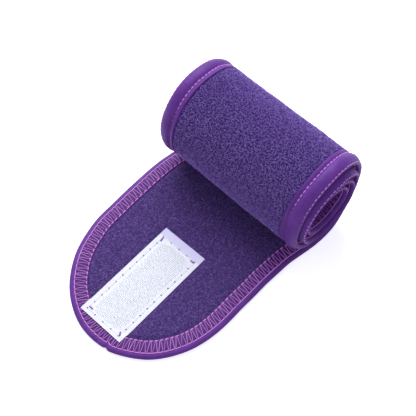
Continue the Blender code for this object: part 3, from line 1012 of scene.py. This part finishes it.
def node(made, kind, **settings):
    found = made.node_tree.nodes.new(kind)
    for key, value in settings.items():
        setattr(found, key, value)
    return found


def link(made, source, target):
    made.node_tree.links.new(source, target)


def attribute(made, name):
    return node(made, "ShaderNodeAttribute", attribute_name=name)


def noise(made, coordinates, scale, detail=2, roughness=0.5):
    """A noise texture over the band, with that many cells a metre."""
    texture = node(made, "ShaderNodeTexNoise")
    texture.inputs["Scale"].default_value = scale
    texture.inputs["Detail"].default_value = detail
    texture.inputs["Roughness"].default_value = roughness
    link(made, coordinates, texture.inputs["Vector"])
    return texture.outputs["Fac"]


def ramp(made, factor, stops):
    """A colour ramp through (position, linear colour) stops."""
    found = node(made, "ShaderNodeValToRGB")
    elements = found.color_ramp.elements
    while len(elements) < len(stops):
        elements.new(0.5)
    for element, (position, colour) in zip(elements, stops):
        element.position = position
        element.color = (*colour, 1)
    link(made, factor, found.inputs["Fac"])
    return found.outputs["Color"]


def mixed(made, factor, first, second):
    """first + factor * (second - first), for numbers."""
    found = node(made, "ShaderNodeMix")
    for value, socket in ((factor, "Factor"), (first, "A"), (second, "B")):
        if isinstance(value, (int, float)):
            found.inputs[socket].default_value = value
        else:
            link(made, value, found.inputs[socket])
    return found.outputs["Result"]


def bump(made, shader, height, strength, distance):
    found = node(made, "ShaderNodeBump")
    found.inputs["Strength"].default_value = strength
    found.inputs["Distance"].default_value = distance
    link(made, height, found.inputs["Height"])
    link(made, found.outputs["Normal"], shader.inputs["Normal"])


def towelling(name, dark, middle, light, stops, cells, grain, depth):
    """Pile: its colour goes from its shaded roots to its bright tips, with a grain of single yarns."""
    made, shader = new_material(name, 0.95)
    soften(shader, 0.15, 0.5, (0.6, 0.5, 0.9), 0.2)
    band = attribute(made, "band").outputs["Vector"]
    tone = attribute(made, "tone").outputs["Fac"]
    fine = noise(made, band, cells, 3, 0.6)
    shade = mixed(made, grain, tone, fine)
    link(made, ramp(made, shade, list(zip(stops, (dark, middle, light)))), shader.inputs["Base Color"])
    bump(made, shader, fine, 0.8, depth)
    return made


def binding_material():
    """Smooth knitted tape, darker where its tone is 0, between the seam lines inside: painted shade of the
    threads there.
    """
    made, shader = new_material("binding", 0.55)
    soften(shader, 0.09, 0.4, (0.8, 0.5, 1), 0.22)
    band = attribute(made, "band").outputs["Vector"]
    broad = noise(made, band, 160, 3)
    knit = noise(made, band, 3200, 2, 0.6)
    shade = mixed(made, attribute(made, "tone").outputs["Fac"], 0.08, mixed(made, 0.35, broad, knit))
    colours = [
        (0, (0.060, 0.015, 0.150)),
        (0.25, (0.077, 0.017, 0.182)),
        (0.5, (0.104, 0.024, 0.240)),
        (0.75, (0.138, 0.034, 0.305)),
    ]
    link(made, ramp(made, shade, colours), shader.inputs["Base Color"])
    bump(made, shader, knit, 0.35, 0.08 * MM)
    return made


def thread_material(name, *colours):
    """Twisted thread, from the first colour to the last by its tone, with plies and a slight gloss."""
    made, shader = new_material(name, 0.5)
    band = attribute(made, "band").outputs["Vector"]
    plies = noise(made, band, 2600, 1)
    tone = attribute(made, "tone").outputs["Fac"]
    shade = mixed(made, 0.3, tone, plies)
    stops = list(zip(np.linspace(0.2, 0.8, len(colours)), colours))
    link(made, ramp(made, shade, stops), shader.inputs["Base Color"])
    bump(made, shader, plies, 0.4, 0.05 * MM)
    return made


def yarn_rows(made, coordinates, direction, pitch):
    """Rows of yarns side by side in that direction, that far apart."""
    texture = node(made, "ShaderNodeTexWave", wave_type="BANDS", bands_direction=direction)
    texture.inputs["Scale"].default_value = math.tau / 20 / pitch
    texture.inputs["Distortion"].default_value = 0.3
    link(made, coordinates, texture.inputs["Vector"])
    return texture.outputs["Fac"]


def woven_material():
    """Woven nylon: yarns across and along, shaded between them, and a tinted selvage where its tone is 0."""
    made, shader = new_material("woven", 0.5)
    band = attribute(made, "band").outputs["Vector"]
    across = yarn_rows(made, band, "Y", 0.816 * MM)
    along = yarn_rows(made, band, "X", 0.8607 * MM)
    weave = mixed(made, 0.2, mixed(made, 0.5, across, along), noise(made, band, 2400, 2))
    shade = mixed(made, 0.45, weave, attribute(made, "tone").outputs["Fac"])
    selvage = [(0.15, (0.54, 0.52, 0.78)), (0.42, (0.62, 0.60, 0.84))]
    stops = selvage + [(0.6, (0.52, 0.53, 0.68)), (0.76, (0.86, 0.88, 0.94))]
    link(made, ramp(made, shade, stops), shader.inputs["Base Color"])
    bump(made, shader, weave, 0.5, 0.08 * MM)
    return made


def plastic_thread(name, dark, light, roughness):
    """Clear nylon monofilament, from shaded roots to bright bends."""
    made, shader = new_material(name, roughness)
    shader.inputs["Specular IOR Level"].default_value = 0.5
    tone = attribute(made, "tone").outputs["Fac"]
    streaks = noise(made, attribute(made, "band").outputs["Vector"], 3000, 1)
    shade = mixed(made, 0.3, tone, streaks)
    link(made, ramp(made, shade, [(0.3, dark), (0.8, light)]), shader.inputs["Base Color"])
    bump(made, shader, streaks, 0.2, 0.03 * MM)
    return made


MATERIALS = {
    "terry": towelling(
        "terry",
        dark=(0.040, 0.017, 0.130),
        middle=(0.150, 0.073, 0.380),
        light=(0.370, 0.245, 0.700),
        stops=(0.1, 0.48, 0.88),
        cells=1500,
        grain=0.22,
        depth=0.15 * MM,
    ),
    "brushed": towelling(
        "brushed",
        dark=(0.019, 0.008, 0.060),
        middle=(0.059, 0.029, 0.158),
        light=(0.205, 0.130, 0.410),
        stops=(0.29, 0.42, 0.60),
        cells=1300,
        grain=0.5,
        depth=0.25 * MM,
    ),
    "binding": binding_material(),
    "coverstitch": thread_material(
        "coverstitch",
        (0.09, 0.018, 0.120),
        (0.33, 0.072, 0.440),
        (0.69, 0.270, 0.800),
    ),
    "woven": woven_material(),
    "hooks": plastic_thread("hooks", (0.78, 0.85, 0.88), (0.90, 0.95, 0.96), 0.4),
    "seam": thread_material("seam", (0.56, 0.56, 0.72), (0.70, 0.70, 0.83)),
    "tacks": thread_material("tacks", (0.10, 0.040, 0.260), (0.30, 0.130, 0.520)),
}


# Lights, floor and camera


def aimed(obj, place, aim):
    obj.location = place
    obj.rotation_euler = (Vector(aim) - Vector(place)).to_track_quat("-Z", "Y").to_euler()


def lit_from(name, place, size, watts, colour):
    data = bpy.data.lights.new(name, "AREA")
    data.shape = "DISK"
    data.size = size
    data.energy = watts
    data.color = colour
    obj = bpy.data.objects.new(name, data)
    bpy.context.scene.collection.objects.link(obj)
    aimed(obj, place, LIGHT_AIM)


def studio():
    scene = bpy.context.scene
    scene.view_settings.view_transform = "Standard"
    world = bpy.data.worlds.new("studio")
    world.use_nodes = True
    background = world.node_tree.nodes["Background"]
    background.inputs["Color"].default_value = (0.93, 0.95, 1, 1)
    in_view = node(world, "ShaderNodeLightPath").outputs["Is Camera Ray"]
    link(world, mixed(world, in_view, 0.6, 1.0), background.inputs["Strength"])
    scene.world = world
    lit_from("key", (0.41, 0.58, 0.71), 0.9, 12, (1, 0.99, 0.97))
    lit_from("fill", (-0.3, -0.5, 0.9), 0.9, 0.8, (0.93, 0.95, 1))

    mesh = bpy.data.meshes.new("floor")
    corners = [(x * FLOOR_HALF, y * FLOOR_HALF, 0) for x, y in ((-1, -1), (1, -1), (1, 1), (-1, 1))]
    mesh.from_pydata(corners, [], [(0, 1, 2, 3)])
    floor = bpy.data.objects.new("floor", mesh)
    scene.collection.objects.link(floor)
    made, shader = new_material("floor", 0.8)
    shader.inputs["Base Color"].default_value = (0.92, 0.92, 0.94, 1)
    shader.inputs["Specular IOR Level"].default_value = 0.1
    shader.inputs["Emission Color"].default_value = (0.95, 0.95, 1, 1)
    seen_directly = node(made, "ShaderNodeLightPath").outputs["Is Camera Ray"]
    link(made, mixed(made, seen_directly, 0.1, 0.58), shader.inputs["Emission Strength"])
    mesh.materials.append(made)


def camera():
    data = bpy.data.cameras.new("camera")
    data.lens = CAMERA_LENS
    data.sensor_width = 36
    data.clip_start = 0.01
    obj = bpy.data.objects.new("camera", data)
    bpy.context.scene.collection.objects.link(obj)
    aimed(obj, CAMERA_PLACE, CAMERA_AIM)
    bpy.context.scene.camera = obj


# Assembly


def on_outside(zone):
    """Whether the zone is on the roll's outside, where its loops are seen."""
    start, end, _ = zone
    return end > FLAT_LENGTH and turn_at(start) < 1.1


def build_zone(zone, label):
    start, end, _ = zone
    flat = end <= FLAT_LENGTH + 15 * MM
    if flat:
        loop_pitch, grid, hair_pitch = LOOP_PITCH_UNDERNEATH, BRUSHED_GRID_FLAT, HAIR_PITCH_FLAT
    else:
        loop_pitch, grid, hair_pitch = LOOP_PITCH_ROLLED_IN, BRUSHED_GRID_ROLLED_IN, HAIR_PITCH_ROLLED_IN
    if on_outside(zone):
        loop_pitch = LOOP_PITCH_SEEN
    pieces = {"terry": terry(zone, label, loop_pitch), "brushed": brushed(zone, label, grid, hair_pitch)}
    if start == 0:
        spans = [(edge_at(end, 1), edge_at(end, -1))]
        pieces["tape"] = tape(f"tape_{label}", *spans[0])
    elif end == BAND_LENGTH:
        spans = [(edge_at(start, -1), EDGE_LENGTH + edge_at(start, 1))]
        pieces["tape"] = tape(f"tape_{label}", *spans[0])
    else:
        spans = [(edge_at(end, 1), edge_at(start, 1)), (edge_at(start, -1), edge_at(end, -1))]
        pieces["tape_left"] = tape(f"tape_left_{label}", *spans[0])
        pieces["tape_right"] = tape(f"tape_right_{label}", *spans[1])
    pieces["coverstitch"] = coverstitch(f"coverstitch_{label}", spans, int(label))
    for kind, obj in pieces.items():
        hang(obj, zone)
    stand_in(pieces["terry"], zone, "towel", "inner")
    if "tape" in pieces:
        stand_in(pieces["tape"], zone, "binding")
    else:
        stand_in(pieces["tape_left"], zone, "binding_left")
        stand_in(pieces["tape_right"], zone, "binding_right")


for zone, label in zip(ZONES, LABELS):
    build_zone(zone, label)
build_patch()

studio()
camera()
